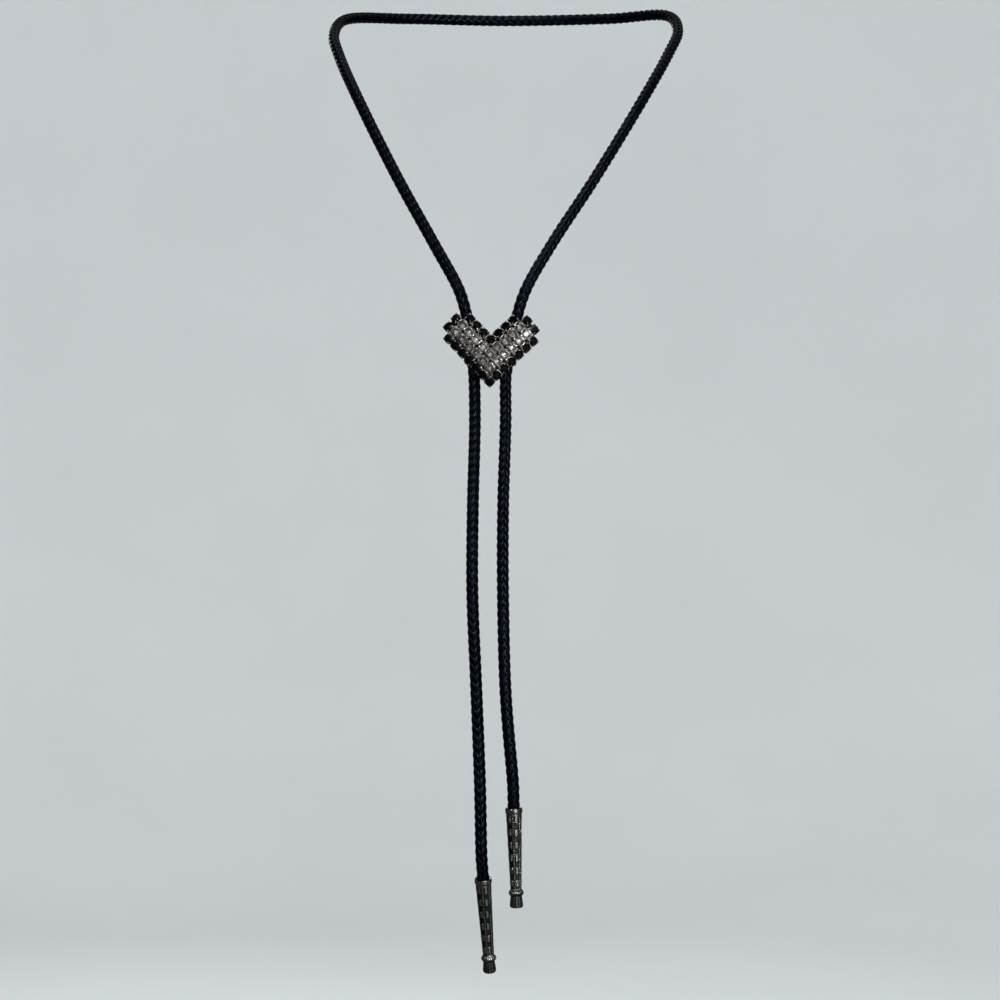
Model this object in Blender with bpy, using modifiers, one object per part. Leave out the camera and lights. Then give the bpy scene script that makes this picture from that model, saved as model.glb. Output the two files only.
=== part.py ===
"""Bolo tie as it is worn: a braided cord round the neck, a stone-set heart slide and two cast tips.

Metres, +Z up. The front faces -Y. The origin is the nape, where the cord's inner side rests.
"""

import math

import bmesh
import bpy
from mathutils import Matrix, Vector

MM = 0.001
FRONT = Vector((0, -1, 0))

# Cord
CORD_DIAMETER = 4.8 * MM
CORD_SIDES = 10
CORD_POINT_SPACING = 3 * CORD_DIAMETER
CORD_POINT_TURN = math.radians(12)

# Slide, as a whole: the middle of its clasp on the cord's centre plane
SLIDE_AT = Vector((-6.5, -151.0, -159.9)) * MM
SLIDE_LEAN = math.radians(5.7)
SLIDE_ROLL = math.radians(1.8)
LOWEST_STONE_DROP = 15.7 * MM

# Stones
STONE_DIAMETER = 3.85 * MM
STONE_SPACING = 0.30 * MM
STONE_PITCH = STONE_DIAMETER + STONE_SPACING
TABLE_SHARE = 0.52
TABLE_SIDES = 8
CROWN_HEIGHT = 0.75 * MM
PAVILION_DEPTH = 1.7 * MM
STONE_GAP = 0.12 * MM

# Setting
DOME_RADIUS = 20.0 * MM
ARM_STONES = 7
ARM_END_TUCK = Vector((-0.10, -0.20))
CUP_SPACING = 0.15 * MM
CUP_WALL = 0.35 * MM
CUP_FLOOR = 0.25 * MM
CUP_TAPER = 0.7
CLAW_THICKNESS = 0.40 * MM
CLAW_REACH = 0.55 * MM
CLAW_TIP_SHARE = 0.6
WEB_THICKNESS = 0.8 * MM
WEB_REACH = 0.8

# Clasp
CHANNEL_LENGTH = 14.0 * MM
CHANNEL_SPACING = 16.6 * MM
CHANNEL_SPLAY = math.radians(8.8)
CHANNEL_GAP = 0.3 * MM
CHANNEL_WALL = 0.75 * MM
CHANNEL_SIDES = 16
CHANNEL_GUARD = 4.0 * MM
BAR_HEIGHT = 8.0 * MM
BAR_THICKNESS = 1.0 * MM
PAD_WIDTH = 7.0 * MM
PAD_HEIGHT = 5.5 * MM
PAD_ABOVE_LOWEST_STONE = 11.2 * MM
PAD_THICKNESS = 1.2 * MM
SOLDER_GAP = 0.25 * MM

# Tips
TIP_LENGTH = 40.0 * MM
TIP_WALL = 0.75 * MM
SOCKET_GAP = 0.25 * MM
SOCKET_DEPTH = 6.0 * MM
TIP_WAIST_WIDTH = 4.6 * MM
TIP_RING_WIDTH = 6.3 * MM
TIP_END_WIDTH = 5.4 * MM
TIP_SHOULDER_SHARE = 0.94
TIP_COLUMNS = 6
TIP_RUNGS = 6
TIP_RUNG_SHARE = 0.66
RUNG_SET = 0.12 * MM
NOTCH_DEPTH = 0.40 * MM
NOTCH_SLOPE = 0.30 * MM
FLUTE_DEPTH = 0.28 * MM
TIP_ROLL = math.radians(18)
LEFT_TIP_MOUTH = Vector((-9.5, -188.8, -374.3)) * MM
LEFT_TIP_DOWN = Vector((0.066, 0.224, -0.972)).normalized()
RIGHT_TIP_MOUTH = Vector((2.8, -189.8, -346.1)) * MM
RIGHT_TIP_DOWN = Vector((0.028, 0.033, -0.999)).normalized()
TIP_STRAIGHT_RUN = 9.0 * MM

# Profile of a tip: each share of its length, with the share of the width there
TIP_COLLAR = ((0.0, 0.96), (0.012, 1.0), (0.045, 1.0))
TIP_SHOULDER = 0.055
TIP_RUNGS_FROM = 0.075
TIP_RUNGS_TO = 0.80
TIP_RING_WAISTS = (0.815, 0.885)
TIP_RING = ((0.832, 0.90), (0.850, 1.0), (0.868, 0.90))
TIP_FLARE = ((0.900, 0.88, "flute"), (0.970, 1.0, "flute"), (0.990, 0.97, "round"), (1.0, 0.84, "round"))

# Route of the cord's centre between the pieces that hold it, chosen by hand, in metres
LEFT_HANG = (
    (-0.0107, -0.1908, -0.3370),
    (-0.0123, -0.1893, -0.2960),
    (-0.0138, -0.1850, -0.2600),
    (-0.0137, -0.1740, -0.2250),
    (-0.0130, -0.1595, -0.1910),
)
NECK_LEFT = (
    (-0.0193, -0.1478, -0.1370),
    (-0.0300, -0.1372, -0.1165),
    (-0.0458, -0.1212, -0.0872),
    (-0.0637, -0.0975, -0.0505),
    (-0.0735, -0.0735, -0.0275),
    (-0.0766, -0.0575, -0.0160),
    (-0.0725, -0.0385, -0.0062),
    (-0.0460, -0.0095, -0.0010),
)
NAPE = (0.0, CORD_DIAMETER / 2, 0.0)
NECK_RIGHT = (
    (0.0470, -0.0095, -0.0010),
    (0.0730, -0.0370, -0.0042),
    (0.0766, -0.0550, -0.0138),
    (0.0722, -0.0705, -0.0250),
    (0.0590, -0.0970, -0.0500),
    (0.0370, -0.1210, -0.0875),
    (0.0185, -0.1372, -0.1168),
    (0.0075, -0.1478, -0.1370),
)
RIGHT_HANG = (
    (-0.0004, -0.1595, -0.1910),
    (-0.0014, -0.1740, -0.2250),
    (-0.0015, -0.1850, -0.2600),
    (-0.0004, -0.1893, -0.3010),
)


def clear_scene():
    for obj in list(bpy.data.objects):
        bpy.data.objects.remove(obj, do_unlink=True)


def new_collection(name, is_helper=False):
    collection = bpy.data.collections.new(name)
    bpy.context.scene.collection.children.link(collection)
    collection.hide_render = is_helper
    return collection


def new_material(name, color, roughness, metallic=0.0, transmission=0.0):
    material = bpy.data.materials.new(name)
    material.use_nodes = True
    shader = material.node_tree.nodes["Principled BSDF"]
    shader.inputs["Base Color"].default_value = (*color, 1)
    shader.inputs["Roughness"].default_value = roughness
    shader.inputs["Metallic"].default_value = metallic
    shader.inputs["Transmission Weight"].default_value = transmission
    return material


def new_object(name, data, collection, material=None, matrix=None):
    obj = bpy.data.objects.new(name, data)
    collection.objects.link(obj)
    if material:
        data.materials.append(material)
    if matrix:
        obj.matrix_world = matrix
    return obj


def new_helper(name, data, collection, matrix=None):
    """A cutter or a piece that is joined to another, drawn as wire and left out of the render."""
    obj = new_object(name, data, collection, matrix=matrix)
    obj.hide_render = True
    obj.display_type = "WIRE"
    return obj


def mesh_from(bm, name, smooth_angle=None):
    bmesh.ops.recalc_face_normals(bm, faces=bm.faces)
    mesh = bpy.data.meshes.new(name)
    bm.to_mesh(mesh)
    bm.free()
    if smooth_angle:
        mesh.shade_smooth()
        mesh.set_sharp_from_angle(angle=smooth_angle)
    return mesh


def box_mesh(name, size, middle):
    bm = bmesh.new()
    bmesh.ops.create_cube(bm, size=1, matrix=Matrix.Translation(middle) @ Matrix.Diagonal((*size, 1)))
    return mesh_from(bm, name)


def bridge(bm, section, following):
    """Faces between two closed sections with equally many points."""
    count = len(section)
    return [
        bm.faces.new((section[i], section[(i + 1) % count], following[(i + 1) % count], following[i]))
        for i in range(count)
    ]


def add_boolean(obj, operation, other):
    modifier = obj.modifiers.new(operation.lower(), "BOOLEAN")
    modifier.operation = operation
    if isinstance(other, bpy.types.Collection):
        modifier.operand_type = "COLLECTION"
        modifier.collection = other
    else:
        modifier.object = other


def frame_matrix(origin, x_axis, y_axis, z_axis):
    matrix = Matrix((x_axis, y_axis, z_axis)).transposed().to_4x4()
    matrix.translation = origin
    return matrix


def slide_matrix():
    """The slide's frame: +X to the right, -Y out of its front, +Z up."""
    turn = Matrix.Rotation(-SLIDE_LEAN, 4, "X") @ Matrix.Rotation(SLIDE_ROLL, 4, "Y")
    return Matrix.Translation(SLIDE_AT) @ turn


def channel_point(side, height):
    """A point of a channel's axis in the slide's frame; side is -1 for the left one, 1 for the right."""
    return Vector((side * (CHANNEL_SPACING / 2 + height * math.tan(CHANNEL_SPLAY)), 0, height))


def channel_route(side):
    """The cord's points from below a channel to above it, on its axis."""
    half = CHANNEL_LENGTH / 2 * math.cos(CHANNEL_SPLAY)
    heights = (-half - CHANNEL_GUARD, -half, half, half + CHANNEL_GUARD)
    return [slide_matrix() @ channel_point(side, height) for height in heights]


def tip_route(mouth, down):
    """The cord's straight end, from inside a tip's socket to above its mouth."""
    inside = mouth + down * (SOCKET_DEPTH - SOCKET_GAP)
    return [inside, mouth - down * TIP_STRAIGHT_RUN / 3, mouth - down * TIP_STRAIGHT_RUN]


def cord_route():
    points = [
        *tip_route(LEFT_TIP_MOUTH, LEFT_TIP_DOWN),
        *LEFT_HANG,
        *channel_route(-1),
        *NECK_LEFT,
        NAPE,
        *NECK_RIGHT,
        *reversed(channel_route(1)),
        *RIGHT_HANG,
        *reversed(tip_route(RIGHT_TIP_MOUTH, RIGHT_TIP_DOWN)),
    ]
    return [Vector(point) for point in points]


def smooth_curve(points):
    """Points along a centripetal Catmull-Rom curve through the given ones, closer where it bends."""
    ends = [2 * points[0] - points[1], *points, 2 * points[-1] - points[-2]]
    curve = []
    for before, start, end, after in zip(ends, ends[1:], ends[2:], ends[3:]):
        gaps = [math.sqrt((b - a).length) for a, b in ((before, start), (start, end), (end, after))]
        chord = (end - start) / gaps[1]
        leaving = ((start - before) / gaps[0] - (end - before) / (gaps[0] + gaps[1]) + chord) * gaps[1]
        arriving = ((after - end) / gaps[2] - (after - start) / (gaps[1] + gaps[2]) + chord) * gaps[1]
        turn = leaving.angle(arriving)
        steps = max(1, round((end - start).length / CORD_POINT_SPACING), round(turn / CORD_POINT_TURN))
        for step in range(steps):
            t = step / steps
            curve.append(
                start * (2 * t**3 - 3 * t**2 + 1)
                + leaving * (t**3 - 2 * t**2 + t)
                + end * (3 * t**2 - 2 * t**3)
                + arriving * (t**3 - t**2)
            )
    curve.append(points[-1])
    return curve


def make_cord(collection, material):
    data = bpy.data.curves.new("cord", "CURVE")
    data.dimensions = "3D"
    data.bevel_depth = CORD_DIAMETER / 2
    data.bevel_resolution = CORD_SIDES // 2 - 2
    data.use_fill_caps = True
    path = smooth_curve(cord_route())
    spline = data.splines.new("POLY")
    spline.points.add(len(path) - 1)
    for point, place in zip(spline.points, path):
        point.co = (*place, 1)
    return new_object("cord", data, collection, material)


def tip_sections():
    """Rows of depth, radius and relief, from a tip's mouth to its end."""
    socket = CORD_DIAMETER + 2 * SOCKET_GAP
    mouth = socket + 2 * TIP_WALL
    shoulder = TIP_SHOULDER_SHARE * mouth
    rows = [(share, width * mouth, "round") for share, width in TIP_COLLAR]
    rows.append((TIP_SHOULDER, shoulder, "round"))
    pitch = (TIP_RUNGS_TO - TIP_RUNGS_FROM) / (TIP_RUNGS - 1 + TIP_RUNG_SHARE)
    slope = NOTCH_SLOPE / TIP_LENGTH
    for rung in range(TIP_RUNGS):
        top = TIP_RUNGS_FROM + rung * pitch
        bottom = top + pitch * TIP_RUNG_SHARE
        notch_top = bottom + slope
        notch_bottom = top + pitch - slope
        for share, relief in (
            (top, "rung"),
            (bottom, "rung"),
            (notch_top, "notch"),
            (notch_bottom, "notch"),
        ):
            taper = (share - TIP_RUNGS_FROM) / (TIP_RUNGS_TO - TIP_RUNGS_FROM)
            rows.append((share, shoulder + (TIP_WAIST_WIDTH - shoulder) * taper, relief))
    above_ring, below_ring = TIP_RING_WAISTS
    rows[-2:] = [(above_ring, TIP_WAIST_WIDTH, "round")]
    rows += [(share, width * TIP_RING_WIDTH, "flute") for share, width in TIP_RING]
    rows.append((below_ring, TIP_WAIST_WIDTH, "round"))
    rows += [(share, width * TIP_END_WIDTH, relief) for share, width, relief in TIP_FLARE]
    return [(share * TIP_LENGTH, width / 2, relief) for share, width, relief in rows]


def tip_section(bm, depth, radius, relief="round"):
    """A section whose points go in fours: two on a column of rungs, then two on a ridge."""
    count = 4 * TIP_COLUMNS
    points = []
    for index in range(count):
        on_rung = index % 4 < 2
        cut = {"round": 0, "rung": RUNG_SET * on_rung, "notch": NOTCH_DEPTH * on_rung}.get(relief)
        if cut is None:
            cut = FLUTE_DEPTH * (index % 2)
        angle = 2 * math.pi * (index - 0.5) / count
        reach = radius - cut
        points.append(bm.verts.new((reach * math.cos(angle), reach * math.sin(angle), -depth)))
    return points


def tip_mesh():
    """A cast tip hanging down from its mouth at the origin, with a blind socket for the cord."""
    bm = bmesh.new()
    socket_radius = CORD_DIAMETER / 2 + SOCKET_GAP
    sections = [tip_section(bm, SOCKET_DEPTH, socket_radius), tip_section(bm, 0, socket_radius)]
    sections += [tip_section(bm, *row) for row in tip_sections()]
    for section, following in zip(sections, sections[1:]):
        bridge(bm, section, following)
    bm.faces.new(sections[0])
    bm.faces.new(sections[-1])
    return mesh_from(bm, "tip", math.radians(35))


def tip_matrix(mouth, down):
    """Puts a column of rungs a little to the right of the front."""
    z_axis = -down
    facing = Matrix.Rotation(TIP_ROLL, 3, z_axis) @ FRONT
    x_axis = (facing - z_axis * facing.dot(z_axis)).normalized()
    return frame_matrix(mouth, x_axis, z_axis.cross(x_axis), z_axis)


def make_tips(collection, material):
    places = {"left_tip": (LEFT_TIP_MOUTH, LEFT_TIP_DOWN), "right_tip": (RIGHT_TIP_MOUTH, RIGHT_TIP_DOWN)}
    mesh = tip_mesh()
    mesh.materials.append(material)
    for name, place in places.items():
        new_object(name, mesh, collection, matrix=tip_matrix(*place))


def stone_cells():
    """Lattice places of the stones, counted along the left and the right arm from the lowest stone.

    Each arm is four rows wide. The outer rows and the rounded end are black, the rest is clear.
    """
    end = ARM_STONES
    black = [(0, 0), (3, 3)]
    clear = [(1, 1), (2, 2)]
    left_black = [(a, 0) for a in range(1, end)] + [(end, 1), (end, 2)]
    left_black += [(a, 3) for a in range(4, end)]
    left_clear = [(a, b) for a in range(2, end) for b in (1, 2) if a > b]
    for cells, left in ((black, left_black), (clear, left_clear)):
        for a, b in left:
            cells += [(a, b), (b, a)]
    return black, clear


def on_lattice(a, b):
    """A lattice place in the slide's own plane: X to the right, Z up from the lowest stone."""
    step = STONE_PITCH / math.sqrt(2)
    return Vector(((b - a) * step, 0, (a + b) * step))


def off_spine(a, b):
    """The lattice step from the middle line of the arms to a place, blended where the arms meet."""
    low, high = 1.5, ARM_STONES - 1.5
    left = Vector((a - min(max(a, low), high), b - low))
    right = Vector((a - low, b - min(max(b, low), high)))
    left_weight = 1 / (left.length_squared + 0.01)
    right_weight = 1 / (right.length_squared + 0.01)
    return (left * left_weight + right * right_weight) / (left_weight + right_weight)


def tucked(a, b):
    """Moves the cell on an arm's outer corner in, which rounds the arm's end off."""
    if (a, b) == (ARM_STONES, 1):
        return Vector((a, b)) + ARM_END_TUCK
    if (a, b) == (1, ARM_STONES):
        return Vector((a, b)) + ARM_END_TUCK.yx
    return Vector((a, b))


def dome(a, b, depth=0.0):
    """A place on the domed field and its outward normal, in the slide's frame; depth is below the girdles."""
    step = off_spine(a, b)
    across = on_lattice(*step)
    bend = across.length / DOME_RADIUS
    outward = across.normalized()
    normal = outward * math.sin(bend) + FRONT * math.cos(bend)
    place = on_lattice(a - step.x, b - step.y) + outward * DOME_RADIUS * math.sin(bend)
    place -= FRONT * DOME_RADIUS * (1 - math.cos(bend))
    place += FRONT * girdle_ahead() - Vector((0, 0, LOWEST_STONE_DROP))
    return place - normal * depth, normal


def cup_depth():
    """From a stone's girdle to the bottom of its cup's hollow."""
    return PAVILION_DEPTH + STONE_GAP


def web_depth():
    """From a stone's girdle to the front of the web."""
    return cup_depth() + CUP_FLOOR


def girdle_ahead():
    """From the cord's centre plane to the girdles on the dome's crown."""
    pad_front = channel_radius() + BAR_THICKNESS / 2 + PAD_THICKNESS
    pad_sag = (PAD_WIDTH**2 + PAD_HEIGHT**2) / (8 * DOME_RADIUS)
    return pad_front + SOLDER_GAP + pad_sag + WEB_THICKNESS + web_depth()


def channel_radius():
    return CORD_DIAMETER / 2 + CHANNEL_GAP + CHANNEL_WALL


def stone_matrix(a, b):
    """Frame of a stone or cup: +Z out of the dome, +X along the left arm."""
    place, normal = dome(*tucked(a, b))
    along = on_lattice(1, 0)
    x_axis = (along - normal * along.dot(normal)).normalized()
    return slide_matrix() @ frame_matrix(place, x_axis, normal.cross(x_axis), normal)


def stone_mesh(name):
    """A round cut: a table, triangles and kites on the crown, kites on the pavilion."""
    bm = bmesh.new()
    girdle_sides = 2 * TABLE_SIDES

    def circle(radius, count, turn=0.0):
        angles = [2 * math.pi * (index + turn) / count for index in range(count)]
        return [(radius * math.cos(angle), radius * math.sin(angle)) for angle in angles]

    table_radius = TABLE_SHARE * STONE_DIAMETER / 2
    table = [bm.verts.new((*p, CROWN_HEIGHT)) for p in circle(table_radius, TABLE_SIDES)]
    girdle = [bm.verts.new((*p, 0)) for p in circle(STONE_DIAMETER / 2, girdle_sides)]
    culet = bm.verts.new((0, 0, -PAVILION_DEPTH))
    bm.faces.new(table)
    for index in range(TABLE_SIDES):
        middle = 2 * index
        before, after = girdle[middle - 1], girdle[middle + 1]
        bm.faces.new((table[index], before, girdle[middle]))
        bm.faces.new((table[index], girdle[middle], after))
        bm.faces.new((table[index], after, table[(index + 1) % TABLE_SIDES]))
        bm.faces.new((girdle[middle], before, culet))
        bm.faces.new((girdle[middle], culet, after))
    return mesh_from(bm, name)


def make_stones(collection, black_glass, clear_glass):
    for kind, cells, glass in zip(("black", "clear"), stone_cells(), (black_glass, clear_glass)):
        mesh = stone_mesh(f"{kind}_stone")
        mesh.materials.append(glass)
        for number, cell in enumerate(cells, start=1):
            new_object(f"{kind}_stone_{number:02d}", mesh, collection, matrix=stone_matrix(*cell))


def cup_section(bm, side, corner, height):
    """A square with cut corners: side and corner are the distances of its two kinds of edge."""
    cut = corner * math.sqrt(2) - side
    quarter = ((side, -cut), (side, cut))
    points = []
    for turn in range(4):
        rotation = Matrix.Rotation(turn * math.pi / 2, 2)
        points += [bm.verts.new((*(rotation @ Vector(point)), height)) for point in quarter]
    return points


def raise_claw(bm, face, rises):
    """Extrudes a rim face past the girdle and then in over the stone's crown."""
    outward = face.calc_center_median()
    outward.z = 0
    outward.normalize()
    across = Vector((-outward.y, outward.x, 0))
    for rise, inward, narrowing in zip(rises, (0, CLAW_REACH), (0, 1 - CLAW_TIP_SHARE)):
        face = bmesh.ops.extrude_discrete_faces(bm, faces=[face])["faces"][0]
        for vert in face.verts:
            vert.co -= outward * inward + across * vert.co.dot(across) * narrowing
            vert.co.z += rise


def cup_mesh():
    """A claw cup: a tapered square cup with cut corners and a claw on each."""
    bm = bmesh.new()
    girdle = STONE_DIAMETER / 2
    side = (STONE_PITCH - CUP_SPACING) / 2
    inner_side = side - CUP_WALL
    claw_inside = girdle + STONE_GAP
    corner = claw_inside + CLAW_THICKNESS
    rim_depth = PAVILION_DEPTH * (1 - inner_side / girdle) + 1.5 * STONE_GAP
    sections = [
        cup_section(bm, CUP_TAPER * side, CUP_TAPER * corner, -web_depth() - WEB_THICKNESS / 2),
        cup_section(bm, side, corner, -rim_depth),
        cup_section(bm, inner_side, claw_inside, -rim_depth),
        cup_section(bm, CUP_TAPER * inner_side, CUP_TAPER * claw_inside, -cup_depth()),
    ]
    bm.faces.new(sections[0])
    bridge(bm, sections[0], sections[1])
    rim = bridge(bm, sections[1], sections[2])
    bridge(bm, sections[2], sections[3])
    bm.faces.new(sections[3])
    bmesh.ops.recalc_face_normals(bm, faces=bm.faces)
    crown_slope = CROWN_HEIGHT / (girdle * (1 - TABLE_SHARE))
    rises = (rim_depth + STONE_GAP, CLAW_REACH * crown_slope + STONE_GAP)
    for face in rim[1::2]:
        raise_claw(bm, face, rises)
    return mesh_from(bm, "cup")


def web_mesh():
    """The domed back under the cups, one square for each stone."""
    cells = [cell for group in stone_cells() for cell in group]
    corners = {}
    for a, b in cells:
        for corner in ((a - 0.5, b - 0.5), (a + 0.5, b - 0.5), (a + 0.5, b + 0.5), (a - 0.5, b + 0.5)):
            corners.setdefault(corner, []).append(Vector((a, b)))
    bm = bmesh.new()
    verts = {}
    for corner, around in corners.items():
        middle = sum(around, Vector((0, 0))) / len(around)
        trimmed = middle + (Vector(corner) - middle) * WEB_REACH
        verts[corner] = bm.verts.new(dome(*trimmed, depth=web_depth())[0])
    for a, b in cells:
        ring = ((a - 0.5, b - 0.5), (a - 0.5, b + 0.5), (a + 0.5, b + 0.5), (a + 0.5, b - 0.5))
        bm.faces.new([verts[corner] for corner in ring])
    mesh = bpy.data.meshes.new("web")
    bm.to_mesh(mesh)
    bm.free()
    return mesh


def make_setting(collection, cutters, material):
    """The web and all cups, soldered into one solid."""
    setting = new_object("heart_setting", web_mesh(), collection, material, slide_matrix())
    shell = setting.modifiers.new("web", "SOLIDIFY")
    shell.thickness = WEB_THICKNESS
    shell.offset = -1
    shell.use_even_offset = True
    cups = bpy.data.collections.new("cups")
    cutters.children.link(cups)
    mesh = cup_mesh()
    for group in stone_cells():
        for cell in group:
            new_helper("cup", mesh, cups, stone_matrix(*cell))
    add_boolean(setting, "UNION", cups)


def channel_cylinder(name, side, radius, length, collection):
    """A round bar on a channel's axis."""
    bm = bmesh.new()
    bmesh.ops.create_cone(
        bm, cap_ends=True, segments=CHANNEL_SIDES, radius1=radius, radius2=radius, depth=length
    )
    turn = Matrix.Rotation(side * CHANNEL_SPLAY, 4, "Y")
    matrix = slide_matrix() @ Matrix.Translation(channel_point(side, 0)) @ turn
    return new_helper(name, mesh_from(bm, name), collection, matrix)


def make_clasp(collection, cutters, material):
    """Two channels for the cord, a bar across them and a pad that the setting is fixed to."""
    radius = channel_radius()
    bar_middle = Vector((0, -radius, 0))
    bar = box_mesh("bar", (CHANNEL_SPACING, BAR_THICKNESS, BAR_HEIGHT), bar_middle)
    clasp = new_object("slide_clasp", bar, collection, material, slide_matrix())
    pad_size = (PAD_WIDTH, PAD_THICKNESS + BAR_THICKNESS, PAD_HEIGHT)
    pad_middle = Vector((0, -radius - PAD_THICKNESS / 2, PAD_ABOVE_LOWEST_STONE - LOWEST_STONE_DROP))
    pad = new_helper("pad", box_mesh("pad", pad_size, pad_middle), cutters, slide_matrix())
    add_boolean(clasp, "UNION", pad)
    for side in (-1, 1):
        tube = channel_cylinder("channel", side, radius, CHANNEL_LENGTH, cutters)
        add_boolean(clasp, "UNION", tube)
    for side in (-1, 1):
        bore = channel_cylinder("bore", side, radius - CHANNEL_WALL, 2 * CHANNEL_LENGTH, cutters)
        add_boolean(clasp, "DIFFERENCE", bore)


def main():
    clear_scene()
    parts = new_collection("bolo_tie")
    cutters = new_collection("cutters", is_helper=True)
    leather = new_material("braided_leather", (0.022, 0.024, 0.038), 0.45)
    silver = new_material("silver", (0.80, 0.80, 0.78), 0.22, metallic=1.0)
    cast_silver = new_material("antique_silver", (0.42, 0.41, 0.39), 0.35, metallic=1.0)
    black_glass = new_material("black_glass", (0.010, 0.010, 0.014), 0.04)
    clear_glass = new_material("clear_glass", (0.90, 0.91, 0.90), 0.02, transmission=0.6)
    make_cord(parts, leather)
    make_tips(parts, cast_silver)
    make_setting(parts, cutters, silver)
    make_stones(parts, black_glass, clear_glass)
    make_clasp(parts, cutters, silver)


main()
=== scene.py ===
"""Bolo tie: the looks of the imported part, in a pale studio, from the photograph's side.

Metres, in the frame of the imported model: +Z up, the front faces -Y, the origin is the nape.
"""

import math
import random

import bmesh
import bpy
from mathutils import Matrix, Vector
from mathutils.geometry import interpolate_bezier

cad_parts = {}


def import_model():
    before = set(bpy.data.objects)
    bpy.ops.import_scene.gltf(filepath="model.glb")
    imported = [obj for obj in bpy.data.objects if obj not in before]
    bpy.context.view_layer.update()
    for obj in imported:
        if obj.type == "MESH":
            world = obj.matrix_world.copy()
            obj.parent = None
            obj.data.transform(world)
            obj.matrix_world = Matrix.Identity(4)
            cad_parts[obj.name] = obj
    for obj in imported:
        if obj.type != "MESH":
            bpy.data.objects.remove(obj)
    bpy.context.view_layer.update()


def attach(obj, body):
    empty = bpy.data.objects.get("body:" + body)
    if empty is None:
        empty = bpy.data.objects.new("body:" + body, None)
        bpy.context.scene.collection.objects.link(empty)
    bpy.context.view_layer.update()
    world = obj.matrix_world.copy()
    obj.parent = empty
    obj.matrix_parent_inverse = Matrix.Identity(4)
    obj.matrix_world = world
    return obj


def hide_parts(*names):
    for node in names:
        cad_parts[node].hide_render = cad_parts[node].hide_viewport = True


MM = 0.001
FRONT = Vector((0, -1, 0))
SEED = 7

# Camera, in the photograph's 1000 x 1000 frame
CAMERA_AT = Vector((-2.7, -1360.0, -223.0)) * MM
CAMERA_LENS = 105.37
CAMERA_SENSOR = 36.0

# Cord and the strands of its braid
CORD_DIAMETER = 4.8 * MM
CURVE_STEP = 2.0 * MM
BRAID_STRANDS = 12
BRAID_PITCH = 21.0 * MM
BRAID_STEP = 1.15 * MM
BRAID_DIVE = 0.22 * MM
BRAID_REACH = 2.56 * MM
STRAND_WIDTH = 2.05 * MM
STRAND_THICKNESS = 0.95 * MM
STRAND_TURNS = (0, 32, 64, 90, 116, 148, 180, 270)
STRAND_FLATNESS = 0.8
CORE_DIAMETER = 3.4 * MM
CORE_SIDES = 10

# Slide, as a whole: the middle of its clasp on the cord's centre plane
SLIDE_AT = Vector((-6.5, -151.0, -159.9)) * MM
SLIDE_LEAN = math.radians(5.7)
SLIDE_ROLL = math.radians(1.8)
LOWEST_STONE_DROP = 15.7 * MM

# Stones
STONE_DIAMETER = 3.85 * MM
STONE_SPACING = 0.30 * MM
STONE_PITCH = STONE_DIAMETER + STONE_SPACING
TABLE_SHARE = 0.52
STAR_SHARE = 0.72
STAR_BULGE = 1.12
TABLE_SIDES = 8
CROWN_HEIGHT = 0.75 * MM
PAVILION_DEPTH = 1.7 * MM
CULET_SHARE = 0.26
GIRDLE_HEIGHT = 0.08 * MM
STONE_GAP = 0.12 * MM
STONE_TILT = math.radians(2.0)

# Setting
DOME_RADIUS = 20.0 * MM
ARM_STONES = 7
ARM_END_TUCK = Vector((-0.10, -0.20))
SPINE_INSET = 1.5
SPINE_BLEND = 0.01
CUP_SPACING = 0.15 * MM
CUP_WALL = 0.35 * MM
CUP_FLOOR = 0.25 * MM
CUP_TAPER = 0.7
CUP_RIM_DROP = 1.5 * STONE_GAP
CUP_SIDES = 24
WEB_THICKNESS = 0.8 * MM
WEB_REACH = 0.8
WEB_STEPS = 4
# Painted shade on the web under the stones: full on its front, less on its back
WEB_PAINTED_SHADE = (1.0, 0.35)
WEB_TOLERANCE = 0.001
CLAW_WIDTH = 0.62 * MM
CLAW_THICKNESS = 0.34 * MM
CLAW_SIDES = 8
CLAW_ROOT = 0.5 * MM
CLAW_BEND_ABOVE_GIRDLE = 0.05 * MM
CLAW_OVER_STONE = 0.32 * MM
CLAW_STEEPNESS = 0.8
CLAW_CURL = 0.35 * MM
CLAW_TIP_RISE = 0.02 * MM
CLAW_TIP_SHARE = 0.3
CLAW_TAPER = (1.0, 1.0, 1.0, 0.98, 0.94, 0.86, 0.70, 0.38)

# Clasp
CHANNEL_LENGTH = 14.0 * MM
CHANNEL_SPACING = 16.6 * MM
CHANNEL_SPLAY = math.radians(8.8)
CHANNEL_GAP = 0.3 * MM
CHANNEL_WALL = 0.75 * MM
CHANNEL_SIDES = 48
LIP_STEPS = 6
CHANNEL_GUARD = 4.0 * MM
BAR_HEIGHT = 8.0 * MM
BAR_THICKNESS = 1.0 * MM
PAD_WIDTH = 7.0 * MM
PAD_HEIGHT = 5.5 * MM
PAD_ABOVE_LOWEST_STONE = 11.2 * MM
PAD_THICKNESS = 1.2 * MM
SOLDER_GAP = 0.25 * MM
CLASP_EDGE = 0.3 * MM

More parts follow.
